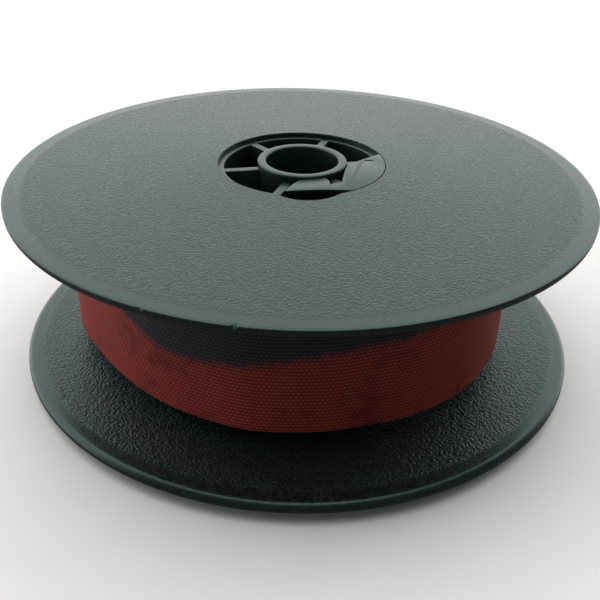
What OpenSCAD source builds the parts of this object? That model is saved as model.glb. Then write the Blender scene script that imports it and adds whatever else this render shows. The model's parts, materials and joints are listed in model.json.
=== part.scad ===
// Ribbon spool: two dished flanges pressed on a ribbed hub, wound with an inked ribbon.
// The spindle axis is Z, and the spool stands on the end of its centre tube at z = 0.

/* [Flanges] */
// Diameter of a flange over its rim
flange_d = 50.8; // [48:0.1:80]
// Thickness of a flange at its rim
rim_t = 0.8; // [0.65:0.05:1.2]
// Rise of the outer face from the rim to the hub opening
crown = 1.1; // [0.3:0.05:1.6]
// Radius of the rim's edge on the ribbon side
rim_round = 0.55; // [0.1:0.05:0.6]
// Thickness of the lip that holds the barrel's end
lip_t = 0.4; // [0.4:0.02:0.7]
// Reach of the lip over the barrel's end
lip_cover = 0.6; // [0.3:0.05:0.9]
// Reach of the thumb notch out from the hub opening
notch_reach = 0.85; // [0.3:0.05:1.5]
// Width of the thumb notch
notch_w = 5.5; // [4:0.1:6]
// Direction of the thumb notch
notch_angle = 275; // [272:1:278]

/* [Hub] */
// Diameter of the spindle bore
bore_d = 6.35; // [5:0.05:9]
// Wall of the centre tube
tube_wall = 0.75; // [0.6:0.01:1.2]
// Height of the centre tube above the flange opening, at each end
tube_proud = 0.2; // [0.1:0.02:1]
// Width of the open well between the centre tube and the flange opening
well_w = 3.425; // [2.8:0.005:6]
// Wall of the barrel that the ribbon is wound on
barrel_wall = 1.1; // [0.8:0.05:1.4]
// Depth of the relief that the notch opens in the barrel's end
relief_depth = 3; // [1:0.5:5]
// Thickness of a rib
rib_t = 0.75; // [0.5:0.05:1]
// Number of ribs
rib_count = 6; // [5:1:7]
// Direction of the first rib
rib_start = 12; // [0:0.5:20]

/* [Ribbon] */
// Width of the ribbon
ribbon_w = 12.7; // [8:0.1:20]
// Thickness of the ribbon
ribbon_t = 0.12; // [0.08:0.01:0.2]
// Side play of the ribbon between the flanges
side_play = 1.55; // [0.5:0.05:4]
// Clearance between the winding and the flange that it was wound against
flange_gap = 0.07; // [0.02:0.01:0.3]
// Margin from the tight winding out to the rims
rim_margin = 6.8; // [5:0.1:12]
// Clearance between the barrel and the first lap
wind_gap = 0.03; // [0.01:0.01:0.1]

/* [Loose lap and free end] */
// Gap between the tight winding and the last lap
lap_gap = 0.3; // [0.2:0.05:0.6]
// Extra gap where the last lap is slackest
lap_slack = 1.6; // [0.5:0.1:2.5]
// Direction in which the last lap is slackest
slack_angle = 186; // [175:1:200]
// Spread of the slack stretch
slack_spread = 18; // [10:1:24]
// Direction in which the last lap ends and the free end starts
free_start = 130; // [120:1:135]
// Angle that the free end covers
free_sweep = 68; // [50:1:72]
// Extra gap at the tip of the free end
free_rise = 0.4; // [0.3:0.05:1]

/* [Ribbon end clip] */
// Thickness of the clip's plate
clip_t = 0.34; // [0.3:0.01:0.48]
// Width of the half-moon gap between the clip's front edge and the flange opening
finger_gap = 1.19; // [0.8:0.01:1.6]
// Thickness of the clip's leg
leg_t = 0.65; // [0.5:0.05:0.8]
// Length of the clip's leg below its plate
leg_length = 9; // [5:0.5:12]
// Clearance between the clip and the hub well that it drops into
clip_gap = 0.06; // [0.04:0.01:0.12]
// Clearance on each side of the ribbon's inner end
pinch_gap = 0.1; // [0.06:0.01:0.15]
// Length of the slit in the clip's plate
slit_length = 0.75; // [0.3:0.05:1.5]
// Width of the slit in the clip's plate
slit_w = 0.22; // [0.1:0.02:0.4]
// Setback of the leg's front face from the clip's front edge
leg_setback = 0.3; // [0.1:0.05:0.5]
// Gap between the ribbon's very end and the centre tube
inner_end_gap = 0.5; // [0.2:0.1:1.5]

/* [Metal fittings] */
// Diameter of an eyelet over its flanges
eyelet_d = 4.2; // [3.5:0.1:5]
// Hole through an eyelet
eyelet_hole_d = 2.2; // [1.5:0.1:3]
// Distance between an eyelet's flanges
eyelet_grip = 0.28; // [0.26:0.01:0.3]
// Clearance between the outer eyelet's flange and the ribbon
eyelet_seat = 0.02; // [0.01:0.01:0.05]
// Thickness of the eyelet and hook metal
metal_t = 0.22; // [0.15:0.01:0.25]
// Direction of the outer eyelet
outer_eyelet_angle = 160; // [150:1:165]
// Direction of the inner eyelet
inner_eyelet_angle = 60; // [30:1:200]
// Length of the hook's crimp along the ribbon
crimp_length = 3.4; // [2.5:0.1:4]
// Width of the hook's prong
prong_w = 4; // [2:0.1:8]
// Inner radius of the hook's prong
prong_r = 0.7; // [0.5:0.05:0.9]
// Straight stretch of the prong past the crimp
prong_reach = 1.6; // [1:0.1:2]
// Straight lip at the prong's end
prong_lip = 1; // [0.5:0.1:1.5]

/* [Hidden] */
$fn = 64;
EPS = 0.05;
FAR = 60;
STEP_ANGLE = 4;

PLASTIC = "#3f4c49";
CLIP_PLASTIC = "#54665f";
INK_BLACK = "#2b2b32";
INK_RED = "#6d3531";
BRASS = "#b08d4a";
STEEL = "#a9abab";

flange_r = flange_d / 2;
bore_r = bore_d / 2;
tube_r = bore_r + tube_wall;
opening_r = tube_r + well_w;
barrel_r = opening_r + lip_cover;
barrel_in_r = barrel_r - barrel_wall;

rim_to_rim = ribbon_w + side_play + 2 * rim_t;
total_h = rim_to_rim + 2 * (crown + tube_proud);
face_z = tube_proud;
ledge_z = face_z + lip_t;
rim_z = face_z + crown;
inner_z = rim_z + rim_t;
top_face_z = total_h - face_z;
top_ledge_z = total_h - ledge_z;

ribbon_top_z = total_h - inner_z - flange_gap;
ribbon_z = ribbon_top_z - ribbon_w;
ribbon_mid_z = ribbon_z + ribbon_w / 2;
winding_r = flange_r - rim_margin;
lap_r = winding_r + lap_gap;
free_arc = free_sweep * PI / 180 * lap_r;
free_gap_angle = lap_gap / lap_r * 180 / PI;

rib_pitch = 360 / rib_count;
clip_rib = rib_start - rib_pitch;
pinch_rib = rib_start - 2 * rib_pitch;
chord_y = -(opening_r - finger_gap);
leg_front_y = chord_y + leg_setback;
plate_z = top_face_z - clip_t;

// Sphere that sinks the thumb notch: it leaves the face at the notch's reach and the lip at its edge
notch_offset = (pow(opening_r + notch_reach, 2) - pow(opening_r, 2)) / 2
    / (opening_r + notch_reach - sqrt(pow(opening_r, 2) - pow(notch_w / 2, 2)));
notch_face_r = opening_r + notch_reach - notch_offset;
notch_lift = (pow(notch_face_r, 2) - pow(opening_r - notch_offset, 2) - pow(lip_t, 2)) / (2 * lip_t);

function at(r, a) = [r * cos(a), r * sin(a)];
// Stand-off of the last lap: slack in one place, down on the winding where it began
function lap_off(a) = lap_slack * exp(-pow((a - slack_angle) / slack_spread, 2));
function free_off(t) = free_rise * t * t;
free_tip_slope = atan(2 * free_rise / free_arc);

// A strip of ribbon between two curves, given the radius and angle of each station
module strip(stations) {
    outer = [for (s = stations) at(s[0] + ribbon_t, s[1])];
    inner = [for (i = [len(stations) - 1:-1:0]) at(stations[i][0], stations[i][1])];
    translate([0, 0, ribbon_z])
        linear_extrude(ribbon_w)
            polygon(concat(outer, inner));
}

// Half of a flange's section, ribbon side up, for turning about the spindle axis
module flange_section() {
    corner_r = flange_r - rim_round;
    difference() {
        union() {
            polygon([
                [opening_r, face_z], [flange_r, rim_z], [flange_r, inner_z - rim_round],
                [corner_r, inner_z - rim_round], [corner_r, inner_z], [opening_r, inner_z]
            ]);
            translate([corner_r, inner_z - rim_round]) circle(rim_round);
        }
        translate([0, ledge_z]) square([barrel_r, inner_z]);
    }
}

module flange() {
    color(PLASTIC)
        difference() {
            rotate_extrude($fn = 180) flange_section();
            rotate([0, 0, notch_angle])
                translate([notch_offset, 0, face_z - notch_lift])
                    sphere(sqrt(pow(notch_face_r, 2) + pow(notch_lift, 2)));
        }
}

module lower_flange() {
    flange();
}

module upper_flange() {
    translate([0, 0, total_h]) mirror([0, 0, 1]) flange();
}

module tube(outer_r, inner_r, low_z, high_z) {
    translate([0, 0, low_z])
        difference() {
            cylinder(r = outer_r, h = high_z - low_z);
            translate([0, 0, -EPS]) cylinder(r = inner_r, h = high_z - low_z + 2 * EPS);
        }
}

// Slot in the barrel beside a rib, open at the top, that lets the ribbon's end in
module ribbon_slot() {
    rotate([0, 0, pinch_rib])
        translate([barrel_in_r - EPS, rib_t / 2, ribbon_z - pinch_gap])
            cube([barrel_wall + 2 * EPS, ribbon_t + 2 * pinch_gap, total_h]);
}

// Relief in the barrel's upper end, under the thumb notch
module barrel_relief() {
    rotate([0, 0, notch_angle])
        translate([barrel_in_r - 1, -notch_w / 2, top_ledge_z - relief_depth])
            cube([barrel_wall + 2, notch_w, relief_depth + EPS]);
}

module hub_core() {
    color(PLASTIC) {
        tube(tube_r, bore_r, 0, total_h);
        difference() {
            tube(barrel_r, barrel_in_r, ledge_z, top_ledge_z);
            ribbon_slot();
            barrel_relief();
        }
        for (i = [0:rib_count - 1])
            rotate([0, 0, rib_start + i * rib_pitch])
                translate([tube_r - EPS, -rib_t / 2, ledge_z])
                    cube([barrel_in_r - tube_r + 2 * EPS, rib_t, top_ledge_z - ledge_z]);
    }
}

// The clip's front edge, a shallow arch across the thumb notch, drawn facing -Y
function front_edge() = [for (t = [-1:0.25:1]) [
    tube_r / 4 + t * (opening_r * 0.4), chord_y - 0.2 * t * t]];

// Plan of the clip's front strip and the tongue that leans on the centre tube
module tongue_plan() {
    rotate(notch_angle - 270)
        polygon(concat(front_edge(), [
            [0.78 * tube_r, chord_y + 1.45], [0.55 * tube_r, chord_y + 1.27],
            [0.5 * tube_r, chord_y + 1], [0.5 * tube_r, chord_y + 1.7],
            [0.45 * tube_r, -tube_r + 0.1], [0.38 * tube_r, -tube_r + 0.45],
            [0.02 * tube_r, -tube_r], [-0.15 * tube_r, -tube_r - 0.33],
            [-0.29 * tube_r, chord_y + 1.25], [-0.39 * tube_r, chord_y + 0.6]
        ]));
}

// Plan of the clip's flat part, which covers one pocket of the hub well
module cover_plan() {
    polygon([
        at(tube_r, rib_start - 14), at(tube_r + 0.8, rib_start - 9), at(opening_r, rib_start + 6.5),
        at(2 * opening_r, rib_start + 16), at(3 * opening_r, clip_rib + 30),
        at(2 * opening_r, clip_rib + 2), at(opening_r, clip_rib - 6),
        at(opening_r - 1.5, clip_rib - 9), at(tube_r + 1.5, clip_rib - 3),
        at(tube_r + 1.05, clip_rib + 2)
    ]);
}

module plate_plan() {
    difference() {
        intersection() {
            circle(opening_r - clip_gap, $fn = 120);
            union() {
                tongue_plan();
                cover_plan();
            }
        }
        circle(tube_r + clip_gap);
        rotate(rib_start - 8) translate([opening_r - 1.8, 0.1]) square([slit_length, slit_w]);
    }
}

// Plan of the clip's leg: it fills the pocket from the ribbon's end to the next rib
module leg_plan() {
    intersection() {
        rotate(notch_angle - 270)
            translate([-opening_r, leg_front_y]) square([2 * opening_r, leg_t]);
        circle(barrel_in_r - clip_gap);
        rotate(pinch_rib) translate([0, rib_t / 2 + ribbon_t + 2 * pinch_gap]) square(FAR);
        rotate(clip_rib) translate([0, -FAR - rib_t / 2 - pinch_gap]) square(FAR);
    }
}

module ribbon_end_clip() {
    color(CLIP_PLASTIC) {
        translate([0, 0, plate_z]) linear_extrude(clip_t) plate_plan();
        translate([0, 0, plate_z - leg_length]) linear_extrude(leg_length + EPS) leg_plan();
    }
}

module eyelet_pocket(first_r, depth, angle, d) {
    rotate([0, 0, angle])
        translate([first_r, 0, ribbon_mid_z])
            rotate([0, 90, 0]) cylinder(d = d, h = depth);
}

module ribbon_winding() {
    color(INK_RED)
        difference() {
            tube(winding_r, barrel_r + wind_gap, ribbon_z, ribbon_top_z);
            eyelet_pocket(barrel_in_r, barrel_wall + wind_gap + eyelet_height + 2 * EPS,
                inner_eyelet_angle, eyelet_d + 4 * EPS);
        }
}

// The ribbon's first stretch, from the winding in through the slot and along the rib
module ribbon_inner_end() {
    color(INK_BLACK)
        rotate([0, 0, pinch_rib])
            translate([tube_r + inner_end_gap, rib_t / 2 + pinch_gap, ribbon_z])
                cube([barrel_r - tube_r - inner_end_gap, ribbon_t, ribbon_w]);
}

module ribbon_outer_lap() {
    last = free_start + 355;
    color(INK_RED)
        difference() {
            strip([for (a = [free_start:STEP_ANGLE:last]) [
                lap_r + lap_off(a) - (lap_gap - wind_gap) * pow((a - free_start) / 355, 8), a]]);
            eyelet_pocket(winding_r, lap_slack + lap_gap, outer_eyelet_angle,
                eyelet_hole_d + 2 * metal_t + EPS);
        }
}

module ribbon_free_end() {
    color(INK_RED) {
        strip([for (i = [0:1:16]) [
            lap_r + free_off(i / 16),
            free_start - free_gap_angle - i / 16 * (free_sweep - free_gap_angle)]]);
        free_tip_place()
            translate([-EPS, -ribbon_t / 2, ribbon_z]) cube([crimp_length, ribbon_t, ribbon_w]);
    }
}

// The frame at the tip of the free end: X runs on along the ribbon and Y away from the winding
module free_tip_place() {
    tip = at(lap_r + free_rise + ribbon_t / 2, free_start - free_sweep);
    translate([tip[0], tip[1], 0])
        rotate([0, 0, free_start - free_sweep - 90 + free_tip_slope]) children();
}

// A folded plate crimped over the ribbon's tip, with a prong curled away from the winding
module end_hook() {
    fold = ribbon_t / 2 + metal_t;
    start = 2 * EPS;
    bend = prong_r + metal_t;
    prong_x = crimp_length + prong_reach;
    color(STEEL)
        free_tip_place() {
            for (side = [-1, 1])
                translate([start, side * (ribbon_t + metal_t) / 2 - metal_t / 2, ribbon_z])
                    cube([crimp_length + EPS, metal_t, ribbon_w]);
            translate([crimp_length, -fold, ribbon_z]) cube([metal_t, 2 * fold, ribbon_w]);
            translate([0, 0, ribbon_mid_z - prong_w / 2]) linear_extrude(prong_w) {
                translate([crimp_length, -fold])
                    square([prong_x - crimp_length + EPS, metal_t]);
                translate([prong_x, bend - fold])
                    difference() {
                        circle(bend);
                        circle(prong_r);
                        translate([-2 * bend, -bend - EPS]) square([2 * bend, 3 * bend]);
                    }
                translate([prong_x - prong_lip, 2 * bend - fold - metal_t])
                    square([prong_lip + EPS, metal_t]);
            }
        }
}

eyelet_height = eyelet_grip + 2 * metal_t;

// A rolled eyelet with its inner flange's face at first_r
module eyelet(first_r, angle) {
    hole_r = eyelet_hole_d / 2;
    color(BRASS)
        rotate([0, 0, angle])
            translate([first_r, 0, ribbon_mid_z])
                rotate([0, 90, 0])
                    rotate_extrude() {
                        translate([hole_r, 0]) square([metal_t, eyelet_height]);
                        for (y = [0, eyelet_height - metal_t])
                            translate([hole_r, y]) square([eyelet_d / 2 - hole_r, metal_t]);
                    }
}

module outer_eyelet() {
    eyelet(lap_r + lap_off(outer_eyelet_angle) + ribbon_t + eyelet_seat + metal_t - eyelet_height,
        outer_eyelet_angle);
}

module inner_eyelet() {
    eyelet(barrel_r + wind_gap + EPS, inner_eyelet_angle);
}

hub_core();
upper_flange();
lower_flange();
ribbon_end_clip();
ribbon_winding();
ribbon_inner_end();
ribbon_outer_lap();
ribbon_free_end();
end_hook();
outer_eyelet();
inner_eyelet();
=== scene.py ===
"""Ribbon spool: builds the moulded, woven and metal pieces of a machine ribbon spool around its frame.

Every length is in metres, in the frame's own axes: the spindle is Z and the spool stands at z = 0."""

import json
import math

import bmesh
import bpy
import numpy as np
from bpy.props import FloatProperty, FloatVectorProperty, IntProperty, PointerProperty
from mathutils import Matrix, Vector


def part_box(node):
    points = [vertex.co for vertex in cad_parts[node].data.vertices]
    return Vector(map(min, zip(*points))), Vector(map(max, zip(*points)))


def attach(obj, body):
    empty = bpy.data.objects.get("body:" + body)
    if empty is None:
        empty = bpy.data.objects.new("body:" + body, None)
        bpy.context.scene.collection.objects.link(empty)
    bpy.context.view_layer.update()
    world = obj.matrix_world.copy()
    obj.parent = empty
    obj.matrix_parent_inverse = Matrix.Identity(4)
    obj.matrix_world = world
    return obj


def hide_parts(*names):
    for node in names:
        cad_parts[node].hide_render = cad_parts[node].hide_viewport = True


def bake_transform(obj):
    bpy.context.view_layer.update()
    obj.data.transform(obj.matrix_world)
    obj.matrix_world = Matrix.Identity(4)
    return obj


bl_info = {
    "name": "Ribbon Spool",
    "version": (1, 0, 0),
    "blender": (4, 5, 0),
    "location": "3D View > Sidebar > Ribbon Spool",
    "description": "Builds a moulded spool wound with a two-colour inked ribbon",
    "category": "Add Mesh",
}

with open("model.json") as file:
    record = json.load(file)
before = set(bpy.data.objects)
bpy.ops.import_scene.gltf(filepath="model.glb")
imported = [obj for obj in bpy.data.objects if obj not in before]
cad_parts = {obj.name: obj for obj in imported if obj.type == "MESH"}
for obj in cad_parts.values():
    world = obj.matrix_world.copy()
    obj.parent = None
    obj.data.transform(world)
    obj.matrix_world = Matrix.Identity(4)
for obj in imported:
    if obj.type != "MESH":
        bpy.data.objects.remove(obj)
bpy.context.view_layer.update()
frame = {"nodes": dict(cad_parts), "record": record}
MM = 0.001

HUB_LOW, HUB_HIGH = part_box("hub_core")
FLANGE_LOW, FLANGE_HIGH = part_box("lower_flange")
WINDING_LOW, WINDING_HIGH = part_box("ribbon_winding")
BORE_R = frame["record"]["mounts"][0]["dims"]["r_mm"] * MM
TOTAL_H = HUB_HIGH.z
BARREL_R = HUB_HIGH.x
RIM_R = FLANGE_HIGH.x
FACE_Z = FLANGE_LOW.z
INNER_Z = FLANGE_HIGH.z
RIBBON_Z = WINDING_LOW.z
RIBBON_W = WINDING_HIGH.z - WINDING_LOW.z
RIBBON_MID_Z = RIBBON_Z + RIBBON_W / 2
WINDING_R = WINDING_HIGH.x
PLASTIC_TINT = (0.62, 1.0, 0.91, 1.0)
TEXTURE_END = 0.945  # where the mould texture stops, as a share of the rim's radius
FIRST_LAP_GAP = 0.03 * MM
INNER_END_GAP = 0.5 * MM
INNER_EYELET_GAP = 0.08 * MM


# ---------------------------------------------------------------- helpers


def linear(hex_colour):
    """Linear RGB of an sRGB hex colour."""
    channels = [int(hex_colour[i:i + 2], 16) / 255 for i in (1, 3, 5)]
    return tuple(c / 12.92 if c <= 0.04045 else ((c + 0.055) / 1.055) ** 2.4 for c in channels)


def smooth_step(low, high, value):
    """0 below low, 1 above high and a smooth rise between, for numbers and arrays."""
    t = np.clip((value - low) / (high - low), 0, 1)
    return t * t * (3 - 2 * t)


def hump(centre, spread, value):
    """A rounded hump of height 1 at centre, which fades over spread."""
    return np.exp(-((value - centre) / spread) ** 2)


def arc(centre, radius, first, last, count):
    """Points of a plane arc, angles in degrees."""
    angles = np.radians(np.linspace(first, last, count))
    return [(centre[0] + radius * math.cos(a), centre[1] + radius * math.sin(a)) for a in angles]


def finish_mesh(mesh, sharp=35):
    """Merges doubles, turns every face outwards and shades the mesh smooth up to sharp degrees."""
    work = bmesh.new()
    work.from_mesh(mesh)
    bmesh.ops.remove_doubles(work, verts=work.verts, dist=1e-7)
    bmesh.ops.recalc_face_normals(work, faces=work.faces)
    work.to_mesh(mesh)
    work.free()
    mesh.shade_smooth()
    mesh.set_sharp_from_angle(angle=math.radians(sharp))
    mesh.update()


def skin(name, sections, closed):
    """A closed mesh through an array of sections, each a loop of points, with ends capped if not closed."""
    count, size, _ = sections.shape
    i = np.arange(count if closed else count - 1)[:, None]
    j = np.arange(size)[None, :]
    after, beside = (i + 1) % count, (j + 1) % size
    quads = np.stack([i * size + j, i * size + beside, after * size + beside, after * size + j], axis=-1)
    faces = quads.reshape(-1, 4).tolist()
    if not closed:
        faces += [list(range(size))[::-1], list(range((count - 1) * size, count * size))]
    mesh = bpy.data.meshes.new(name)
    mesh.from_pydata(sections.reshape(-1, 3).tolist(), [], faces)
    return mesh


def turned(name, profile, angles, shape=None):
    """A mesh of revolution about Z from a closed (radius, height) profile, moved by shape(r, z, angle)."""
    r, z = (np.array(column)[None, :] for column in zip(*profile))
    a = np.array(angles)[:, None]
    r, z = r + 0 * a, z + 0 * a
    if shape:
        r, z = shape(r, z, a)
    turn = np.radians(a)
    mesh = skin(name, np.stack([r * np.cos(turn), r * np.sin(turn), z], axis=-1), True)
    finish_mesh(mesh)
    return mesh


def new_object(name, mesh, material=None):
    """An object at the origin that shows the mesh."""
    obj = bpy.data.objects.new(name, mesh)
    bpy.context.scene.collection.objects.link(obj)
    if material:
        mesh.materials.clear()
        mesh.materials.append(material)
    return obj


def settle(obj, sharp=35):
    """Turns an object's modifiers into a plain mesh and removes them."""
    bpy.context.view_layer.update()
    evaluated = obj.evaluated_get(bpy.context.evaluated_depsgraph_get())
    mesh = bpy.data.meshes.new_from_object(evaluated)
    obj.modifiers.clear()
    obj.data = mesh
    finish_mesh(mesh, sharp)
    return obj


def combine(obj, other, operation):
    """Cuts other out of obj or joins it to obj, and removes other."""
    modifier = obj.modifiers.new("combine", "BOOLEAN")
    modifier.operation = operation
    modifier.object = other
    modifier.solver = "EXACT"
    settle(obj)
    bpy.data.objects.remove(other)
    return obj


def block(name, low, high, turn=0):
    """A box between two corners, turned about Z by an angle in radians."""
    work = bmesh.new()
    bmesh.ops.create_cube(work, size=1)
    size = Vector(high) - Vector(low)
    place = Matrix.Rotation(turn, 4, "Z") @ Matrix.Translation((Vector(low) + Vector(high)) / 2)
    bmesh.ops.transform(work, matrix=place @ Matrix.Diagonal((*size, 1)), verts=work.verts)
    mesh = bpy.data.meshes.new(name)
    work.to_mesh(mesh)
    work.free()
    return mesh


def add_piece(obj, body, slot, *nodes):
    """Makes a finished object ride on a body and stand for CAD nodes, which it hides; slot is not used."""
    if body:
        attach(obj, body)
    if nodes:
        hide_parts(*nodes)
    return obj


# ---------------------------------------------------------------- node trees


def add_node(tree, kind, settings=None, links=None):
    """Adds a node, sets its properties, and sets or links its inputs by name or index."""
    node = tree.nodes.new(kind)
    for name, value in (settings or {}).items():
        setattr(node, name, value)
    for name, source in (links or {}).items():
        if isinstance(source, bpy.types.NodeSocket):
            tree.links.new(source, node.inputs[name])
        else:
            node.inputs[name].default_value = source
    return node


def new_material(name, **constants):
    """A material with a shader that has these constants on its own sockets."""
    material = bpy.data.materials.new(name)
    material.use_nodes = True
    tree = material.node_tree
    tree.nodes.clear()
    shader = add_node(tree, "ShaderNodeBsdfPrincipled", links=constants)
    add_node(tree, "ShaderNodeOutputMaterial", links={"Surface": shader.outputs["BSDF"]})
    return material, tree, shader


def math_node(tree, operation, *values):
    """The output of a math node on numbers or sockets."""
    node = add_node(tree, "ShaderNodeMath", {"operation": operation}, dict(enumerate(values)))
    return node.outputs[0]


def blend_colours(tree, factor, first, second, kind="MIX"):
    """The colour output of a mix of two colours, each a socket or a linear RGB triple."""
    first, second = ((*c, 1) if isinstance(c, tuple) else c for c in (first, second))
    mix = add_node(tree, "ShaderNodeMix", {"data_type": "RGBA", "blend_type": kind})
    for index, value in ((0, factor), (6, first), (7, second)):
        if isinstance(value, bpy.types.NodeSocket):
            tree.links.new(value, mix.inputs[index])
        else:
            mix.inputs[index].default_value = value
    return mix.outputs[2]


def ramp(tree, value, low, high, to_low=0.0, to_high=1.0):
    """A number mapped smoothly from one range to another."""
    node = add_node(tree, "ShaderNodeMapRange", {"interpolation_type": "SMOOTHSTEP"}, {
        "Value": value, "From Min": low, "From Max": high, "To Min": to_low, "To Max": to_high})
    return node.outputs["Result"]


def grain(tree, where, size, detail=2.0, roughness=0.5):
    """The factor of a noise whose cells are about size metres across."""
    node = add_node(tree, "ShaderNodeTexNoise", links={
        "Vector": where, "Scale": 1 / size, "Detail": detail, "Roughness": roughness})
    return node.outputs["Fac"]


def scaled(colour, factor):
    """A linear colour made darker or lighter."""
    return tuple(min(1.0, c * factor) for c in colour)


# ---------------------------------------------------------------- sizes and colours


def length(name, description, default):
    """A length property whose default is given in millimetres."""
    return FloatProperty(name=name, description=description, default=default * MM, unit="LENGTH", precision=5)


def angle(name, description, default):
    """An angle property whose default is given in degrees."""
    return FloatProperty(name=name, description=description, default=math.radians(default), subtype="ANGLE")


def colour(name, description, default):
    """A colour property whose default is an sRGB hex colour."""
    return FloatVectorProperty(name=name, description=description, default=linear(default),
        subtype="COLOR", min=0, max=1)


class MouldingSizes(bpy.types.PropertyGroup):
    """Sizes of the flange and hub mouldings that their boxes don't give."""
    opening_r: length("Opening radius", "Radius of the hub opening in a flange", 7.35)
    crown: length("Crown", "Rise of the outer face from the rim to the opening", 1.1)
    lip_t: length("Lip", "Thickness of the lip over the barrel's end", 0.4)
    rim_round: length("Rim rounding", "Radius of the rim's edge on the ribbon side", 0.55)
    edge_round: length("Edge rounding", "Radius of the other moulded edges", 0.08)
    notch_reach: length("Notch reach", "Reach of the thumb notch out from the opening", 0.85)
    notch_w: length("Notch width", "Width of the thumb notch at the opening", 5.5)
    notch_angle: angle("Notch direction", "Direction of the thumb notch", 275)
    gate_angle: angle("Gate direction", "Direction of the larger gate mark on the upper rim", 261)
    gate_step: angle("Gate step", "Angle from the larger gate mark back to the smaller", 15)
    gate_w: length("Gate width", "Half width of the larger gate mark", 0.25)
    gate_depth: length("Gate depth", "Depth of the larger gate mark", 0.24)
    tube_wall: length("Tube wall", "Wall of the centre tube", 0.75)
    barrel_wall: length("Barrel wall", "Wall of the barrel", 1.1)
    rib_t: length("Rib thickness", "Thickness of a rib", 0.75)
    rib_count: IntProperty(name="Ribs", description="Number of ribs in the hub", default=6, min=3, max=9)
    rib_start: angle("First rib", "Direction of the first rib", 12)
    relief_depth: length("Relief depth", "Depth of the relief under the thumb notch", 3.0)


class RibbonSizes(bpy.types.PropertyGroup):
    """Sizes of the ribbon, its weave and the way it lies."""
    thickness: length("Thickness", "Thickness of the ribbon", 0.12)
    pick: length("Weave along", "Spacing of the weave's grains along a row", 0.37)
    end: length("Weave across", "Spacing of the weave's rows across the ribbon", 0.31)
    relief: length("Relief", "Height of a yarn crown above the mean surface", 0.022)
    lap_gap: length("Lap gap", "Gap between the tight winding and the last lap", 0.3)
    settle: length("Settle", "How far the last lap sinks where it joins the winding", 0.27)
    slack: length("Slack", "Extra gap where the last lap is slackest", 1.6)
    slack_angle: angle("Slack direction", "Direction in which the last lap is slackest", 186)
    slack_spread: angle("Slack spread", "Spread of the slack stretch", 18)
    free_start: angle("Free end start", "Direction in which the last lap ends", 130)
    free_sweep: angle("Free end sweep", "Angle that the free end covers", 68)
    free_rise: length("Free end rise", "Extra gap at the free end's tip", 0.4)
    edge_wander: length("Edge wander", "How far the tight laps' edges stand out of line", 0.05)
    pinch_gap: length("Pinch gap", "Clearance beside the ribbon's inner end", 0.1)
    bend_zone: length("Bend zone", "Stretch over which the free end bends as it peels", 3.0)


class FittingSizes(bpy.types.PropertyGroup):
    """Sizes of the metal fittings."""
    metal_t: length("Metal", "Thickness of the eyelet and hook metal", 0.22)
    eyelet_r: length("Eyelet radius", "Radius of an eyelet over its flanges", 2.1)
    hole_r: length("Eyelet hole", "Radius of the hole through an eyelet", 1.1)
    grip: length("Eyelet grip", "Distance between an eyelet's flanges", 0.28)
    outer_angle: angle("Outer eyelet", "Direction of the eyelet in the last lap", 160)
    inner_angle: angle("Inner eyelet", "Direction of the eyelet by the barrel", 60)
    crimp: length("Crimp", "Length of the hook's crimp along the ribbon", 3.4)
    prong_w: length("Prong width", "Width of the hook's prong", 4.0)
    prong_r: length("Prong radius", "Inner radius of the hook's prong", 0.7)
    prong_reach: length("Prong reach", "Straight stretch of the prong past the crimp", 1.6)
    dimple_pitch: length("Dimple pitch", "Spacing of the press marks on the crimp", 1.5)


class Finishes(bpy.types.PropertyGroup):
    """Colours of the materials."""
    polystyrene: colour("Polystyrene", "Body colour of the flange and hub mouldings", "#141a1a")
    clip: colour("Clip", "Body colour of the ribbon end clip", "#18231f")
    ink_black: colour("Black ink", "Upper half of the ribbon", "#424149")
    ink_red: colour("Red ink", "Lower half of the ribbon", "#b0453e")
    steel: colour("Plated steel", "Hook at the ribbon's end", "#c2c4c3")
    brass: colour("Brass", "Eyelets", "#c8a55c")
    floor: colour("Floor", "Pale sweep under the spool", "#f3f3f1")


class StudioSettings(bpy.types.PropertyGroup):
    """Camera and light."""
    lens: FloatProperty(name="Lens", description="Focal length in millimetres", default=49.26, min=20, max=200)
    elevation: angle("Elevation", "How far the camera looks down", 31.23)
    turn: angle("Turn", "Turn of the view to the right", 0.10)
    roll: angle("Roll", "Roll of the camera", 1.46)
    camera_y: length("Camera back", "Distance of the camera in front of the spindle", 68.09)
    camera_z: length("Camera height", "Height of the camera above the floor", 45.28)
    floor_size: length("Floor size", "Side of the floor", 1600)
    light: FloatProperty(name="Light", description="Brightness of the surroundings", default=1.75, min=0, max=10)
    front_share: FloatProperty(name="Front share", description="Share of the light that comes from the front",
        default=0.08, min=0, max=1)


class SpoolSettings(bpy.types.PropertyGroup):
    """All sizes and colours of the spool."""
    moulding: PointerProperty(name="Mouldings", description="Flange and hub sizes", type=MouldingSizes)
    ribbon: PointerProperty(name="Ribbon", description="Ribbon sizes", type=RibbonSizes)
    fitting: PointerProperty(name="Fittings", description="Eyelet and hook sizes", type=FittingSizes)
    finish: PointerProperty(name="Finishes", description="Colours", type=Finishes)
    studio: PointerProperty(name="Studio", description="Camera and light", type=StudioSettings)


# ---------------------------------------------------------------- materials


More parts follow.
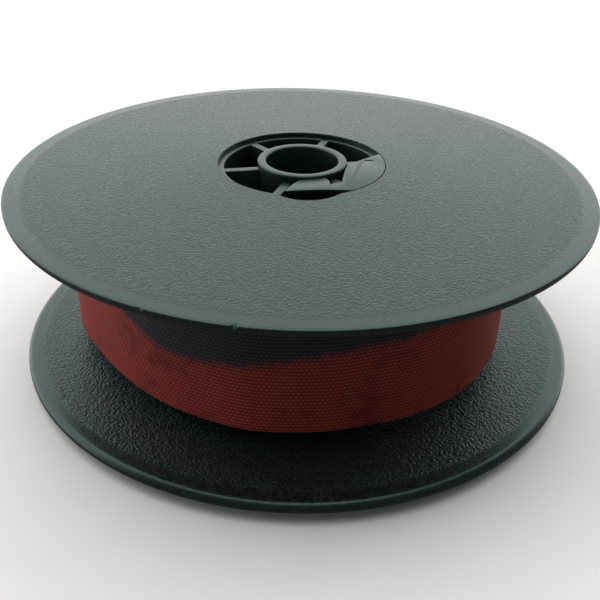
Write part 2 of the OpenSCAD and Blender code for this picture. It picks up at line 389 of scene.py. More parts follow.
def textured_polystyrene(finish, band_edge):
    """Moulded high-impact polystyrene from a spark-eroded mould: a fine pitted grain that scatters light, with
    painted shade in its hollows and painted sparkle on its crests, and a smooth, slightly brighter land where the
    texture stops short of the rim at band_edge."""
    material, tree, shader = new_material("moulded_polystyrene_eroded", IOR=1.57, **{
        "Specular Tint": PLASTIC_TINT})
    where = add_node(tree, "ShaderNodeTexCoord").outputs["Object"]
    flat = add_node(tree, "ShaderNodeVectorMath", {"operation": "MULTIPLY"}, {0: where, 1: (1, 1, 0)})
    radius = add_node(tree, "ShaderNodeVectorMath", {"operation": "LENGTH"}, {0: flat.outputs[0]}).outputs["Value"]
    band = ramp(tree, radius, band_edge - 0.3 * MM, band_edge + 0.3 * MM, 1.0, 0.0)
    grain_relief_and_painted_glint = ramp(tree, grain(tree, where, 0.2 * MM, 0.0, 0.5), 0.3, 0.7)
    fine = grain(tree, where, 0.11 * MM, 1.0, 0.5)
    cloud = grain(tree, where, 5 * MM, 2.0, 0.6)
    height = math_node(tree, "ADD", math_node(tree, "MULTIPLY", grain_relief_and_painted_glint, 0.6), math_node(tree, "MULTIPLY", fine, 0.4))
    height = math_node(tree, "MULTIPLY", height, band)
    bump = add_node(tree, "ShaderNodeBump", links={"Strength": 1.0, "Distance": 0.05 * MM, "Height": height})
    # Painted shade in the grain's hollows and painted sparkle on its crests: the body colour runs from 0.4 to 2 times
    # as the grain rises.
    tone = blend_colours(tree, grain_relief_and_painted_glint, scaled(finish.polystyrene, 0.4), scaled(finish.polystyrene, 2.0))
    tone = blend_colours(tree, ramp(tree, cloud, 0.3, 0.7, 0.0, 0.5), tone, tuple(finish.polystyrene))
    tree.links.new(tone, shader.inputs["Base Color"])
    rough = math_node(tree, "ADD", math_node(tree, "MULTIPLY", band, 0.1), ramp(tree, fine, 0.35, 0.65, 0.22, 0.42))
    tree.links.new(rough, shader.inputs["Roughness"])
    tree.links.new(bump.outputs[0], shader.inputs["Normal"])
    return material


def plain_polystyrene(name, base, roughness):
    """Moulded polystyrene from a polished mould: an even gloss with faint flow marks and dust-fine specks."""
    material, tree, shader = new_material(name, IOR=1.57, **{"Specular Tint": PLASTIC_TINT})
    where = add_node(tree, "ShaderNodeTexCoord").outputs["Object"]
    flow = grain(tree, where, 1.8 * MM, 3.0, 0.6)
    specks = grain(tree, where, 0.18 * MM, 1.0, 0.5)
    tone = blend_colours(tree, ramp(tree, flow, 0.35, 0.65), scaled(base, 0.93), scaled(base, 1.07))
    tree.links.new(tone, shader.inputs["Base Color"])
    rough = ramp(tree, specks, 0.3, 0.7, roughness - 0.02, roughness + 0.03)
    tree.links.new(rough, shader.inputs["Roughness"])
    bump = add_node(tree, "ShaderNodeBump", links={"Strength": 0.3, "Distance": 0.02 * MM, "Height": flow})
    tree.links.new(bump.outputs[0], shader.inputs["Normal"])
    return material


def inked_nylon(sizes, finish):
    """Plain-woven nylon ribbon soaked with ink: dull yarn crowns lit with painted light over gaps darkened with
    painted shade, black above and red below, with the inks bled a little into each other and dried smudges of black
    on the red."""
    material, tree, shader = new_material("inked_nylon_weave", IOR=1.53, **{"Specular IOR Level": 0.2})
    along, across, _ = ribbon_axes(tree)
    row, stagger, grains = (
        math_node(tree, "COSINE", math_node(tree, "MULTIPLY", run, turns * math.pi / size))
        for run, turns, size in ((across, 2, sizes.end), (across, 1, sizes.end), (along, 2, sizes.pick)))
    weave = math_node(tree, "ADD", row, math_node(tree, "MULTIPLY", stagger, grains))
    weave = math_node(tree, "MULTIPLY", weave, 0.5)
    where = add_node(tree, "ShaderNodeTexCoord").outputs["Object"]
    fibre = grain(tree, where, 0.09 * MM, 1.0, 0.5)
    bleed = grain(tree, where, 0.5 * MM, 3.0, 0.6)
    smudge = grain(tree, where, 3.2 * MM, 3.0, 0.6)
    edge = add_node(tree, "ShaderNodeAttribute", {"attribute_name": "ink_edge"}).outputs["Fac"]
    edge = math_node(tree, "ADD", edge, ramp(tree, bleed, 0.25, 0.75, -0.25 * MM, 0.25 * MM))
    black_share = ramp(tree, edge, -0.6 * MM, 0.6 * MM)
    red = blend_colours(tree, ramp(tree, smudge, 0.52, 0.72, 0.0, 0.55), tuple(finish.ink_red),
        scaled(finish.ink_red, 0.35))
    ink = blend_colours(tree, black_share, red, tuple(finish.ink_black))
    # Painted shade in the gaps between yarns and painted light on their crowns, with a random fibre tone on top.
    shade = ramp(tree, weave, -0.5, 0.8, 0.5, 1.3)
    shade = math_node(tree, "MULTIPLY", shade, ramp(tree, fibre, 0.2, 0.8, 0.82, 1.15))
    painted_weave_shade_and_fibre_tone = add_node(tree, "ShaderNodeCombineColor", links={0: shade, 1: shade, 2: shade}).outputs[0]
    tree.links.new(blend_colours(tree, 1.0, ink, painted_weave_shade_and_fibre_tone, "MULTIPLY"), shader.inputs["Base Color"])
    tree.links.new(ramp(tree, fibre, 0.2, 0.8, 0.5, 0.7), shader.inputs["Roughness"])
    height = math_node(tree, "ADD", weave, math_node(tree, "MULTIPLY", fibre, 0.6))
    bump = add_node(tree, "ShaderNodeBump", links={"Strength": 0.6, "Distance": 0.02 * MM, "Height": height})
    tree.links.new(bump.outputs[0], shader.inputs["Normal"])
    return material


def ribbon_axes(tree):
    """Run along the ribbon and height across it, from the ribbon's own UV map."""
    uv = add_node(tree, "ShaderNodeUVMap", {"uv_map": "ribbon"}).outputs[0]
    return add_node(tree, "ShaderNodeSeparateXYZ", links={0: uv}).outputs


def worked_metal(name, base, roughness, tarnish):
    """Stamped sheet metal: bright with fine rolling marks, dulled in patches by handling."""
    material, tree, shader = new_material(name, Metallic=1.0)
    where = add_node(tree, "ShaderNodeTexCoord").outputs["Object"]
    drawn = add_node(tree, "ShaderNodeMapping", links={0: where, 3: (1, 1, 12)}).outputs[0]
    marks = grain(tree, drawn, 0.5 * MM, 2.0, 0.6)
    patches = grain(tree, where, 0.9 * MM, 3.0, 0.6)
    tone = blend_colours(tree, ramp(tree, patches, 0.45, 0.75, 0.0, tarnish), tuple(base), scaled(base, 0.45))
    tree.links.new(tone, shader.inputs["Base Color"])
    tree.links.new(ramp(tree, patches, 0.3, 0.75, roughness, roughness + 0.2), shader.inputs["Roughness"])
    bump = add_node(tree, "ShaderNodeBump", links={"Strength": 0.3, "Distance": 0.01 * MM, "Height": marks})
    tree.links.new(bump.outputs[0], shader.inputs["Normal"])
    return material


def sweep_paper(base):
    """Matt white studio paper: even and pale, with a faint fibre mottle."""
    material, tree, shader = new_material("matt_paper", Roughness=0.9)
    where = add_node(tree, "ShaderNodeTexCoord").outputs["Object"]
    fibre = grain(tree, where, 4 * MM, 3.0, 0.6)
    tone = blend_colours(tree, ramp(tree, fibre, 0.3, 0.7), scaled(base, 0.985), tuple(base))
    tree.links.new(tone, shader.inputs["Base Color"])
    return material


def material_named(name, make, *args):
    """A material that several pieces share, made the first time it is asked for."""
    return bpy.data.materials.get(name) or make(*args)


def nylon(settings):
    """The ribbon's material, shared by all its pieces."""
    return material_named("inked_nylon_weave", inked_nylon, settings.ribbon, settings.finish)


# ---------------------------------------------------------------- flanges


def flange_profile(m):
    """Closed (radius, height) profile of the lower flange, from the opening out and back underneath."""
    rim_z = FACE_Z + m.crown
    slope = math.degrees(math.atan2(m.crown, RIM_R - m.opening_r))
    edge, rim = m.edge_round, m.rim_round
    points = arc((m.opening_r + edge, FACE_Z + edge), edge, 180, 270 + slope, 5)
    reach = RIM_R - m.opening_r
    for r in [*np.arange(0.15, 1.1, 0.09) * MM, *np.linspace(1.3 * MM, reach - 0.5 * MM, 10)]:
        points.append((m.opening_r + r, FACE_Z + m.crown * r / reach))
    points.append((RIM_R - 0.35 * MM, rim_z - 0.35 * MM * m.crown / reach))
    points += arc((RIM_R - edge, rim_z + edge), edge, 270 + slope, 360, 4)
    points.append((RIM_R, rim_z + 0.5 * (INNER_Z - rim - rim_z)))
    points += arc((RIM_R - rim, INNER_Z - rim), rim, 0, 90, 8)
    points += [(r, INNER_Z) for r in np.linspace(RIM_R - rim - 0.4 * MM, BARREL_R + edge, 5)]
    points += [(BARREL_R, INNER_Z - edge), (BARREL_R, FACE_Z + m.lip_t), (m.opening_r, FACE_Z + m.lip_t)]
    return points


def notch_ball(m):
    """Distance out, height over the face and radius of the ball that sinks the thumb notch."""
    mouth = math.sqrt(m.opening_r ** 2 - (m.notch_w / 2) ** 2)
    reach = m.opening_r + m.notch_reach
    offset = (reach ** 2 - m.opening_r ** 2) / 2 / (reach - mouth)
    face_r = reach - offset
    lift = (face_r ** 2 - (m.opening_r - offset) ** 2 - m.lip_t ** 2) / (2 * m.lip_t)
    return offset, lift, math.hypot(face_r, lift)


def flange_shape(m, gates):
    """A function that sinks the thumb notch, and the gate marks if there are any, into a turned flange."""
    offset, lift, ball_r = notch_ball(m)
    ledge = FACE_Z + m.lip_t

    def shape(r, z, a):
        turn = np.radians(a) - m.notch_angle
        apart = (r * np.cos(turn) - offset) ** 2 + (r * np.sin(turn)) ** 2
        depth = np.sqrt(np.clip(ball_r ** 2 - apart, 0, None)) - lift
        share = np.clip(depth / m.lip_t, 0, 0.93)
        z = np.where(z < ledge - 1e-6, ledge - (ledge - z) * (1 - share * (z < ledge)), z)
        for gate, size in gates:
            mark = hump(gate, math.degrees(m.gate_w / RIM_R), a) * (r > RIM_R - m.edge_round - 0.02 * MM)
            mark = mark * smooth_step(INNER_Z - m.rim_round, FACE_Z + m.crown, z)
            r = r - mark * size * m.gate_depth
        return r, z

    return shape


def flange_angles(m, gates):
    """Even stations round the flange, with closer ones at the gate marks."""
    stations = list(np.arange(0, 360, 0.75))
    for gate, _ in gates:
        stations += list(gate + np.arange(-1.05, 1.06, 0.1))
    return sorted(set(round(s, 4) for s in stations))


class SPOOL_OT_flanges(bpy.types.Operator):
    """Turns the two flange mouldings, with rounded rims, thumb notches and gate marks"""
    bl_idname = "ribbon_spool.flanges"
    bl_label = "Flanges"

    def execute(self, context):
        settings = context.scene.ribbon_spool
        m = settings.moulding
        gate = math.degrees(m.gate_angle)
        marks = [(gate, 1.0), (gate - math.degrees(m.gate_step), 0.45)]
        profile = flange_profile(m)
        skins = (
            ("upper_flange_moulding", "upper_flange", marks),
            ("lower_flange_moulding", "lower_flange", []),
        )
        material = textured_polystyrene(settings.finish, TEXTURE_END * RIM_R)
        for name, node, gates in skins:
            mesh = turned(name, profile, flange_angles(m, gates), flange_shape(m, gates))
            if node == "upper_flange":
                mesh.transform(Matrix.Translation((0, 0, TOTAL_H)) @ Matrix.Diagonal((1, 1, -1, 1)))
                finish_mesh(mesh)
            add_piece(new_object(name, mesh, material), "spool", "moulded_polystyrene", node)
        return {"FINISHED"}


# ---------------------------------------------------------------- hub


def round_ended_tube(inner_r, outer_r, low, high, edge):
    """Closed profile of a tube with rounded end edges."""
    return [
        *arc((outer_r - edge, low + edge), edge, 270, 360, 4), *arc((outer_r - edge, high - edge), edge, 0, 90, 4),
        *arc((inner_r + edge, high - edge), edge, 90, 180, 4), *arc((inner_r + edge, low + edge), edge, 180, 270, 4)]


def rib_tree(material):
    """A node tree that sets copies of one rib evenly round the spindle."""
    tree = bpy.data.node_groups.new("ribs_round_hub", "GeometryNodeTree")
    sockets = {}
    for name, kind in (("Rib", "NodeSocketGeometry"), ("Count", "NodeSocketInt"), ("First angle", "NodeSocketFloat")):
        sockets[name] = tree.interface.new_socket(name=name, in_out="INPUT", socket_type=kind)
    tree.interface.new_socket(name="Geometry", in_out="OUTPUT", socket_type="NodeSocketGeometry")
    given = add_node(tree, "NodeGroupInput").outputs
    places = add_node(tree, "GeometryNodeMeshLine", links={"Count": given["Count"], "Offset": (0, 0, 0)})
    index = add_node(tree, "GeometryNodeInputIndex").outputs[0]
    step = math_node(tree, "DIVIDE", 2 * math.pi, given["Count"])
    turn = math_node(tree, "MULTIPLY_ADD", index, step, given["First angle"])
    spin = add_node(tree, "ShaderNodeCombineXYZ", links={"Z": turn}).outputs[0]
    ribs = add_node(tree, "GeometryNodeInstanceOnPoints", links={
        "Points": places.outputs["Mesh"], "Instance": given["Rib"], "Rotation": spin})
    real = add_node(tree, "GeometryNodeRealizeInstances", links={0: ribs.outputs[0]})
    painted = add_node(tree, "GeometryNodeSetMaterial", links={"Geometry": real.outputs[0], "Material": material})
    add_node(tree, "NodeGroupOutput", links={0: painted.outputs[0]})
    return tree, sockets


def run_tree(obj, tree, sockets, **values):
    """Runs a node tree on an object with named inputs and leaves a plain mesh."""
    modifier = obj.modifiers.new(tree.name, "NODES")
    modifier.node_group = tree
    for name, value in values.items():
        modifier[sockets[name.replace("_", " ").capitalize()].identifier] = value
    return settle(obj)


class SPOOL_OT_hub(bpy.types.Operator):
    """Joins the centre tube, the ribs and the barrel into the hub moulding"""
    bl_idname = "ribbon_spool.hub"
    bl_label = "Hub"

    def execute(self, context):
        settings = context.scene.ribbon_spool
        m, ribbon = settings.moulding, settings.ribbon
        material = material_named("moulded_polystyrene_polished", plain_polystyrene,
            "moulded_polystyrene_polished", tuple(settings.finish.polystyrene), 0.36)
        low, high = FACE_Z + m.lip_t, TOTAL_H - FACE_Z - m.lip_t
        tube_r, wall_r = BORE_R + m.tube_wall, BARREL_R - m.barrel_wall
        rib = block("rib", (tube_r - 0.2 * MM, -m.rib_t / 2, low), (wall_r + 0.2 * MM, m.rib_t / 2, high))
        hub = new_object("hub_moulding", rib)
        edges = hub.modifiers.new("edges", "BEVEL")
        edges.width = m.edge_round
        edges.segments = 2
        tree, sockets = rib_tree(material)
        run_tree(hub, tree, sockets, count=m.rib_count, first_angle=m.rib_start)
        turns = np.arange(0, 360, 2.5)
        barrel_profile = round_ended_tube(wall_r, BARREL_R, low, high, m.edge_round)
        barrel = new_object("barrel", turned("barrel", barrel_profile, turns))
        pinch = m.rib_start - 4 * math.pi / m.rib_count
        slot = block("slot", (wall_r - MM, m.rib_t / 2, RIBBON_Z - ribbon.pinch_gap),
            (BARREL_R + MM, m.rib_t / 2 + ribbon.thickness + 2 * ribbon.pinch_gap, TOTAL_H), pinch)
        relief = block("relief", (wall_r - MM, -m.notch_w / 2, high - m.relief_depth),
            (BARREL_R + MM, m.notch_w / 2, TOTAL_H), m.notch_angle)
        combine(barrel, new_object("slot", slot), "DIFFERENCE")
        combine(barrel, new_object("relief", relief), "DIFFERENCE")
        tube_profile = round_ended_tube(BORE_R, tube_r, 0, TOTAL_H, 2 * m.edge_round)
        tube = new_object("tube", turned("tube", tube_profile, turns))
        combine(hub, tube, "UNION")
        combine(hub, barrel, "UNION")
        hub.data.materials.clear()
        hub.data.materials.append(material)
        add_piece(hub, "spool", "moulded_polystyrene", "hub_core")
        return {"FINISHED"}


class SPOOL_OT_end_clip(bpy.types.Operator):
    """Rounds the edges of the clip that holds the ribbon's inner end"""
    bl_idname = "ribbon_spool.end_clip"
    bl_label = "Ribbon end clip"

    def execute(self, context):
        settings = context.scene.ribbon_spool
        mesh = frame["nodes"]["ribbon_end_clip"].data.copy()
        work = bmesh.new()
        work.from_mesh(mesh)
        bmesh.ops.remove_doubles(work, verts=work.verts, dist=1e-6)
        bmesh.ops.dissolve_limit(work, angle_limit=math.radians(1), verts=work.verts, edges=work.edges)
        work.to_mesh(mesh)
        work.free()
        material = plain_polystyrene("clip_polystyrene", tuple(settings.finish.clip), 0.38)
        clip = new_object("ribbon_end_clip_moulding", mesh, material)
        edges = clip.modifiers.new("edges", "BEVEL")
        edges.width = 0.06 * MM
        edges.segments = 2
        edges.limit_method = "ANGLE"
        edges.angle_limit = math.radians(35)
        settle(clip)
        add_piece(clip, "end_clip", "clip_polystyrene", "ribbon_end_clip")
        return {"FINISHED"}


# ---------------------------------------------------------------- ribbon


def ink_height(degrees):
    """Height of the edge between the inks above the ribbon's lower edge, by direction round the spool."""
    spread = np.where(degrees < 240, 18.0, 35.0)
    dip = 1 - hump(240, spread, degrees)
    left = smooth_step(219, 205, degrees) * smooth_step(150, 175, degrees)
    right = smooth_step(298, 316, degrees) * smooth_step(390, 365, degrees)
    hidden = smooth_step(180, 150, degrees) + smooth_step(365, 390, degrees)
    shown = RIBBON_W * (0.417 + 0.2 * dip + 0.37 * (left + right))
    return shown * (1 - hidden) + hidden * RIBBON_W * (0.5 + 0.04 * np.sin(np.radians(3 * degrees)))


def even_stations(curve, step, outwards):
    """Points, unit normals and run lengths of a plane curve at even steps along it."""
    run = np.concatenate([[0], np.cumsum(np.hypot(*np.diff(curve, axis=0).T))])
    at = np.linspace(0, run[-1], max(2, round(run[-1] / step) + 1))
    points = np.stack([np.interp(at, run, curve[:, k]) for k in (0, 1)], axis=1)
    tangent = np.gradient(points, axis=0)
    tangent /= np.linalg.norm(tangent, axis=1)[:, None]
    normals = outwards * np.stack([tangent[:, 1], -tangent[:, 0]], axis=1)
    return points, normals, at


def add_ribbon_maps(mesh, run, height, ink_edge):
    """Stores the run along the ribbon, the height across it and the distance above the inks' edge."""
    mesh.attributes.new("ink_edge", "FLOAT", "POINT").data.foreach_set("value", ink_edge.astype(np.float32))
    corners = np.zeros(len(mesh.loops), int)
    mesh.loops.foreach_get("vertex_index", corners)
    uv = np.stack([run[corners], height[corners]], axis=1).astype(np.float32)
    mesh.uv_layers.new(name="ribbon").data.foreach_set("uv", uv.ravel())


def woven_strip(name, curve, outwards, sizes, wander=0.0):
    """A closed strip of ribbon along a plane curve, with a crown or a dip at each crossing of its yarns."""
    points, normals, run = even_stations(curve, sizes.pick / 2, outwards)
    rows = 2 * round(RIBBON_W / sizes.end) + 1
    across = np.linspace(0, RIBBON_W, rows)
    row, stagger = np.cos(2 * np.pi * across / sizes.end), np.cos(np.pi * across / sizes.end)
    weave = 0.5 * (row[None, :] + stagger[None, :] * np.cos(2 * np.pi * run / sizes.pick)[:, None])
    weave *= smooth_step(0, 0.3 * MM, across)[None, :] * smooth_step(0, 0.3 * MM, RIBBON_W - across)[None, :]
    off = np.concatenate([sizes.thickness / 2 + sizes.relief * weave,
        np.full((len(run), 2), -sizes.thickness / 2)], axis=1)
    across = np.concatenate([across, [RIBBON_W, 0]])
    plane = points[:, None, :] + off[:, :, None] * normals[:, None, :]
    drift = wander * (np.sin(run / (9 * MM)) + 0.6 * np.sin(run / (3.7 * MM) + 1))
    height = RIBBON_Z + across[None, :] + drift[:, None]
    mesh = skin(name, np.concatenate([plane, height[:, :, None]], axis=2), False)
    directions = np.degrees(np.arctan2(points[:, 1], points[:, 0]))
    directions = np.unwrap(directions, period=360)
    directions += 360 * np.ceil((120 - directions.min()) / 360) if outwards > 0 else 0
    ink = across[None, :] - ink_height(directions)[:, None]
    add_ribbon_maps(mesh, np.repeat(run, rows + 2), np.tile(across, len(run)), ink.ravel())
    finish_mesh(mesh, 60)
    return mesh


def polar(radius, degrees):
    """Plane points at a radius and a direction in degrees."""
    turn = np.radians(degrees)
    return np.stack([radius * np.cos(turn), radius * np.sin(turn)], axis=-1)


def last_lap_curve(s):
    """Middle line of the last lap: slack at one side, then down onto the winding where it began."""
    start = math.degrees(s.free_start)
    a = np.linspace(start, start + 355, 1500)
    r = WINDING_R + s.lap_gap + s.thickness / 2
    r = r + s.slack * hump(math.degrees(s.slack_angle), math.degrees(s.slack_spread), a)
    r = r - s.settle * ((a - start) / 355) ** 8
    flats = 0.22 * hump(259, 9, a) - 0.2 * hump(287, 6, a) + 0.1 * hump(315, 10, a)
    return polar(r + flats * MM, a)


def free_end_curve(s, crimp):
    """Middle line of the free end: up off the winding, then straight into the hook."""
    start, sweep = math.degrees(s.free_start), math.degrees(s.free_sweep)
    t = np.linspace(0, 1, 200)
    r = WINDING_R + s.lap_gap + s.thickness / 2
    curl = polar(r + s.free_rise * t * t, start - sweep * t)
    tip, ahead = hook_axes(s)
    straight = tip + np.linspace(0.1 * MM, crimp - 0.1 * MM, 20)[:, None] * ahead
    return np.concatenate([curl, straight])


def hook_axes(s):
    """Start of the free end's straight tip and the unit direction in which it runs on."""
    arc_length = s.free_sweep * (WINDING_R + s.lap_gap)
    turn = s.free_start - s.free_sweep - math.pi / 2 + math.atan(2 * s.free_rise / arc_length)
    tip = polar(WINDING_R + s.lap_gap + s.free_rise + s.thickness / 2, math.degrees(s.free_start - s.free_sweep))
    return tip, np.array([math.cos(turn), math.sin(turn)])


def roll_curve(m, s):
    """Middle line of the tight laps, from the pinched inner end out to where the last lap lifts off."""
    pinch = m.rib_start - 4 * math.pi / m.rib_count
    side = m.rib_t / 2 + s.pinch_gap + s.thickness / 2
    along = np.array([math.cos(pinch), math.sin(pinch)])
    beside = np.array([-math.sin(pinch), math.cos(pinch)])
    first_r = BARREL_R + FIRST_LAP_GAP + s.thickness / 2
    inner = np.linspace(BORE_R + m.tube_wall + INNER_END_GAP, BARREL_R - 0.25 * MM, 12)
    inner = inner[:, None] * along + side * beside
    first = math.degrees(pinch) + math.degrees(side / first_r) - 2
    last = math.degrees(s.free_start) - 5
    turns = round((WINDING_R - s.thickness / 2 - first_r) / s.thickness)
    a = np.arange(first, last - 360 * (turns - math.ceil((first - last) / 360)) - 0.01, -3.75)
    r = np.linspace(first_r, WINDING_R - s.thickness / 2, len(a))
    return np.concatenate([inner, polar(r, a)])


class SPOOL_OT_ribbon_roll(bpy.types.Operator):
    """Winds the tight laps of the ribbon, lap on lap, from its pinched inner end"""
    bl_idname = "ribbon_spool.ribbon_roll"
    bl_label = "Ribbon roll"

    def execute(self, context):
        settings = context.scene.ribbon_spool
        m, s = settings.moulding, settings.ribbon
        curve = roll_curve(m, s)
        run = np.concatenate([[0], np.cumsum(np.hypot(*np.diff(curve, axis=0).T))])
        tangent = np.gradient(curve, axis=0)
        tangent /= np.linalg.norm(tangent, axis=1)[:, None]
        normal = np.stack([-tangent[:, 1], tangent[:, 0]], axis=1) * 0.46 * s.thickness
        lap = np.arange(len(curve)) / 96
        drift = s.edge_wander * (np.sin(1.7 * lap) + 0.7 * np.sin(4.1 * lap + 1) + 0.5 * np.sin(9.3 * lap))
        low, high = RIBBON_Z + drift - 0.05 * MM, RIBBON_Z + RIBBON_W + drift - 0.09 * MM
        corners = [(curve + side * normal, z) for side, z in ((1, low), (1, high), (-1, high), (-1, low))]
        sections = np.stack([np.concatenate([p, z[:, None]], axis=1) for p, z in corners], axis=1)
        mesh = skin("ribbon_roll", sections, False)
        height = sections[:, :, 2].ravel() - RIBBON_Z
        add_ribbon_maps(mesh, np.repeat(run, 4), height, height - RIBBON_W / 2)
        finish_mesh(mesh, 30)
        roll = new_object("ribbon_roll", mesh, nylon(settings))
        add_piece(roll, "spool", "inked_nylon", "ribbon_winding", "ribbon_inner_end")
        return {"FINISHED"}


class SPOOL_OT_last_lap(bpy.types.Operator):
    """Weaves the ribbon's last lap, which lies slack round the roll"""
    bl_idname = "ribbon_spool.last_lap"
    bl_label = "Last lap"

    def execute(self, context):
        settings = context.scene.ribbon_spool
        s, f = settings.ribbon, settings.fitting
        curve = last_lap_curve(s)
        mesh = woven_strip("ribbon_last_lap", curve, 1, s, 0.03 * MM)
        lap = new_object("ribbon_last_lap", mesh, nylon(settings))
        punch = turned("punch", [(0.02 * MM, -2 * MM), (f.hole_r + f.metal_t, -2 * MM),
            (f.hole_r + f.metal_t, 2 * MM), (0.02 * MM, 2 * MM)], np.arange(0, 360, 15))
        punch.transform(eyelet_place(outer_eyelet_r(s), f.outer_angle))
        combine(lap, new_object("punch", punch), "DIFFERENCE")
        add_piece(lap, "spool", "inked_nylon", "ribbon_outer_lap")
        return {"FINISHED"}


class SPOOL_OT_loose_end(bpy.types.Operator):
    """Weaves the ribbon's loose end, which bends away from the roll as it peels"""
    bl_idname = "ribbon_spool.loose_end"
    bl_label = "Loose end"

    def execute(self, context):
        settings = context.scene.ribbon_spool
        s, f = settings.ribbon, settings.fitting
        curve = free_end_curve(s, f.crimp)
        mesh = woven_strip("ribbon_loose_end", curve, -1, s)
        end = new_object("ribbon_loose_end", mesh, nylon(settings))
        add_piece(end, None, "inked_nylon", "ribbon_free_end")
        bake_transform(end)
        return {"FINISHED"}


# ---------------------------------------------------------------- metal fittings


def outer_eyelet_r(s):
    """Radius of the last lap's middle line where the outer eyelet sits."""
    f = bpy.context.scene.ribbon_spool.fitting
    slack = s.slack * float(hump(s.slack_angle, s.slack_spread, f.outer_angle))
    return WINDING_R + s.lap_gap + s.thickness / 2 + slack


def eyelet_place(radius, turn):
    """The place of an eyelet that was turned about Z: centred on the ribbon, facing out in a direction."""
    return Matrix.Rotation(turn, 4, "Z") @ Matrix.Translation((radius, 0, RIBBON_MID_Z)) @ \
        Matrix.Rotation(math.pi / 2, 4, "Y")


def eyelet_profile(f):
    """Closed profile of a rolled eyelet: a short barrel with a flange curled out at each end."""
    half, t = f.grip / 2 + f.metal_t, f.metal_t
    curl = t * 0.45
    top = [*arc((f.hole_r + curl, half - curl), curl, 180, 90, 4),
        *arc((f.eyelet_r - curl, half - curl), curl, 90, -90, 6), (f.hole_r + t, half - t)]
    return top + [(r, -z) for r, z in reversed(top)]


def bent_sheet(name, path, thickness, low, high):
    """Sheet metal bent along a plane path, as a closed mesh between two heights."""
    path = np.array(path)
    tangent = np.gradient(path, axis=0)
    tangent /= np.linalg.norm(tangent, axis=1)[:, None]
    off = np.stack([-tangent[:, 1], tangent[:, 0]], axis=1) * thickness / 2
    edge = 0.25 * thickness
    corners = [(1, low + edge), (0.5, low), (-0.5, low), (-1, low + edge),
        (-1, high - edge), (-0.5, high), (0.5, high), (1, high - edge)]
    rings = [np.concatenate([path + side * off, np.full((len(path), 1), z)], axis=1) for side, z in corners]
    mesh = skin(name, np.stack(rings, axis=1), False)
    finish_mesh(mesh, 40)
    return mesh


class SPOOL_OT_hook(bpy.types.Operator):
    """Folds the steel hook over the tip of the ribbon's loose end"""
    bl_idname = "ribbon_spool.hook"
    bl_label = "End hook"

    def execute(self, context):
        settings = context.scene.ribbon_spool
        s, f = settings.ribbon, settings.fitting
        off = (s.thickness + f.metal_t) / 2
        fold = arc((f.crimp, 0), off, 90, -90, 13)
        crimp = [(x, off) for x in np.linspace(0.1 * MM, f.crimp - 0.1 * MM, 8)] + fold
        crimp += [(x, -off) for x in np.linspace(f.crimp - 0.1 * MM, 0.1 * MM, 8)]
        plate = bent_sheet("plate", crimp, f.metal_t, RIBBON_Z, RIBBON_Z + RIBBON_W)
        bend = f.prong_r + f.metal_t / 2
        reach = f.crimp + f.prong_reach
        prong = [(x, -off) for x in np.linspace(f.crimp - 0.2 * MM, reach, 5)]
        prong += arc((reach, bend - off), bend, -84, 90, 14)
        prong += [(x, 2 * bend - off) for x in np.linspace(reach - 0.2 * MM, reach - MM, 4)]
        tongue = bent_sheet("tongue", prong, f.metal_t, RIBBON_MID_Z - f.prong_w / 2, RIBBON_MID_Z + f.prong_w / 2)
        hook = new_object("end_hook_steel", plate)
        combine(hook, new_object("tongue", tongue), "UNION")
        press_dimples(hook.data, s, f, off)
        tip, ahead = hook_axes(s)
        turn = math.atan2(ahead[1], ahead[0])
        hook.data.transform(Matrix.Translation((tip[0], tip[1], 0)) @ Matrix.Rotation(turn, 4, "Z"))
        hook.data.materials.append(worked_metal("plated_steel", settings.finish.steel, 0.24, 0.35))
        finish_mesh(hook.data, 40)
        add_piece(hook, "free_end", "plated_steel", "end_hook")
        return {"FINISHED"}


def press_dimples(mesh, s, f, off):
    """Sinks a row of round press marks into the outer plate of the crimp."""
    work = bmesh.new()
    work.from_mesh(mesh)
    rows = round((RIBBON_W - 2 * MM) / f.dimple_pitch)
    cuts = np.linspace(RIBBON_Z + 0.4 * MM, RIBBON_Z + RIBBON_W - 0.4 * MM, 8 * rows)
    for z in cuts:
        geometry = work.verts[:] + work.edges[:] + work.faces[:]
        bmesh.ops.bisect_plane(work, geom=geometry, plane_co=(0, 0, z), plane_no=(0, 0, 1))
    centre_x = f.crimp * 0.5
    for vert in work.verts:
        if vert.co.y > off - f.metal_t and vert.co.x < f.crimp:
            nearest = RIBBON_Z + MM + round((vert.co.z - RIBBON_Z - MM) / f.dimple_pitch) * f.dimple_pitch
            apart = math.hypot(vert.co.x - centre_x, vert.co.z - nearest)
            vert.co.y -= 0.12 * MM * math.exp(-(apart / (0.35 * MM)) ** 2)
    work.to_mesh(mesh)
    work.free()


class SPOOL_OT_eyelets(bpy.types.Operator):
    """Rolls the two brass eyelets that work the ribbon reverse"""
    bl_idname = "ribbon_spool.eyelets"
    bl_label = "Eyelets"

    def execute(self, context):
        settings = context.scene.ribbon_spool
        s, f = settings.ribbon, settings.fitting
        material = worked_metal("eyelet_brass", settings.finish.brass, 0.28, 0.5)
        inner_r = BARREL_R + INNER_EYELET_GAP + f.grip / 2 + f.metal_t
        places = (
            ("outer_eyelet_brass", "outer_eyelet", outer_eyelet_r(s), f.outer_angle),
            ("inner_eyelet_brass", "inner_eyelet", inner_r, f.inner_angle),
        )
        for name, node, radius, turn in places:
            mesh = turned(name, eyelet_profile(f), np.arange(0, 360, 7.5))
            mesh.transform(eyelet_place(radius, turn))
            finish_mesh(mesh)
            add_piece(new_object(name, mesh, material), "spool", "eyelet_brass", node)
        return {"FINISHED"}


# ---------------------------------------------------------------- stage


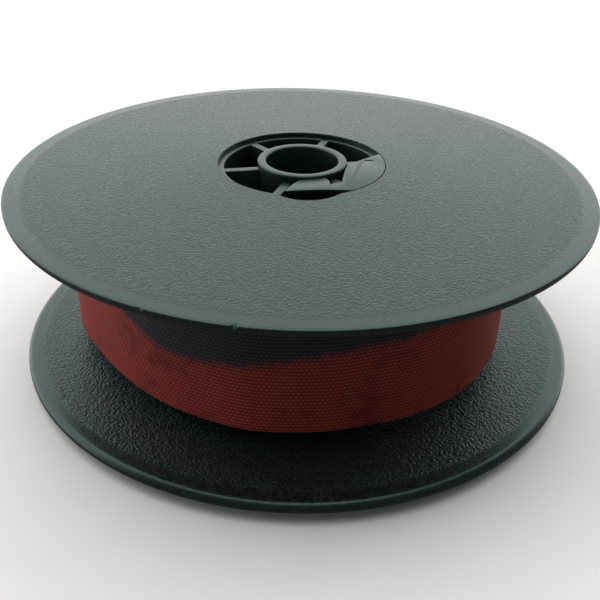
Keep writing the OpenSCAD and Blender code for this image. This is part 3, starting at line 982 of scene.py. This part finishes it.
def studio_world(studio):
    """Soft white surroundings, brightest behind and to the left, and dark in front and below."""
    world = bpy.data.worlds.new("studio")
    world.use_nodes = True
    tree = world.node_tree
    tree.nodes.clear()
    direction = add_node(tree, "ShaderNodeTexCoord").outputs["Generated"]
    axes = add_node(tree, "ShaderNodeSeparateXYZ", links={0: direction}).outputs
    back_left = math_node(tree, "SUBTRACT", axes[1], math_node(tree, "MULTIPLY", axes[0], 0.35))
    sides = ramp(tree, back_left, -0.3, 0.35)
    above = ramp(tree, axes[2], 0.72, 1.0)
    below = ramp(tree, axes[2], -0.6, 0.0)
    share = math_node(tree, "MULTIPLY", math_node(tree, "MAXIMUM", sides, above), below)
    strength = ramp(tree, share, 0.0, 1.0, studio.light * studio.front_share, studio.light)
    background = add_node(tree, "ShaderNodeBackground", links={"Color": (1, 1, 1, 1), "Strength": strength})
    add_node(tree, "ShaderNodeOutputWorld", links={0: background.outputs[0]})
    return world


class SPOOL_OT_studio(bpy.types.Operator):
    """Sets the camera, the pale floor, which throws no light back up, and the soft light"""
    bl_idname = "ribbon_spool.studio"
    bl_label = "Studio"

    def execute(self, context):
        settings = context.scene.ribbon_spool
        studio = settings.studio
        camera = bpy.data.objects.new("camera", bpy.data.cameras.new("camera"))
        context.scene.collection.objects.link(camera)
        camera.data.lens = studio.lens
        camera.data.sensor_width = 36
        camera.data.clip_start = 0.001
        ahead = Vector((0, math.cos(studio.elevation), -math.sin(studio.elevation)))
        right = Vector((1, 0, 0))
        up = right.cross(ahead)
        ahead, right = (math.cos(studio.turn) * ahead + math.sin(studio.turn) * right,
            math.cos(studio.turn) * right - math.sin(studio.turn) * ahead)
        level = Matrix((right, up, -ahead)).transposed().to_4x4()
        place = Matrix.Translation((0, -studio.camera_y, studio.camera_z))
        camera.matrix_world = place @ level @ Matrix.Rotation(studio.roll, 4, "Z")
        context.scene.camera = camera
        half = studio.floor_size / 2
        mesh = bpy.data.meshes.new("floor")
        corners = [(-half, -half, 0), (half, -half, 0), (half, half, 0), (-half, half, 0)]
        mesh.from_pydata(corners, [], [(0, 1, 2, 3)])
        floor = new_object("floor", mesh, sweep_paper(tuple(settings.finish.floor)))
        floor.visible_diffuse = False
        floor.visible_glossy = False
        context.scene.world = studio_world(studio)
        context.scene.view_settings.view_transform = "Standard"
        return {"FINISHED"}


# ---------------------------------------------------------------- panel and registration


class SPOOL_PT_panel(bpy.types.Panel):
    """Lists the pieces of the ribbon spool"""
    bl_idname = "SPOOL_PT_panel"
    bl_label = "Ribbon Spool"
    bl_space_type = "VIEW_3D"
    bl_region_type = "UI"
    bl_category = "Ribbon Spool"

    def draw(self, context):
        for operator in OPERATORS:
            self.layout.operator(operator.bl_idname)


OPERATORS = (
    SPOOL_OT_studio, SPOOL_OT_flanges, SPOOL_OT_hub, SPOOL_OT_end_clip, SPOOL_OT_eyelets,
    SPOOL_OT_hook, SPOOL_OT_ribbon_roll, SPOOL_OT_last_lap, SPOOL_OT_loose_end)
GROUPS = (MouldingSizes, RibbonSizes, FittingSizes, Finishes, StudioSettings, SpoolSettings)


def register():
    """Adds the settings, the operators and the panel."""
    for item in (*GROUPS, *OPERATORS, SPOOL_PT_panel):
        bpy.utils.register_class(item)
    bpy.types.Scene.ribbon_spool = PointerProperty(type=SpoolSettings)


def unregister():
    """Takes them away again."""
    del bpy.types.Scene.ribbon_spool
    for item in reversed((*GROUPS, *OPERATORS, SPOOL_PT_panel)):
        bpy.utils.unregister_class(item)


def main():
    """Builds every piece."""
    register()
    for operator in OPERATORS:
        group, name = operator.bl_idname.split(".")
        getattr(getattr(bpy.ops, group), name)()


if __name__ == "__main__":
    main()
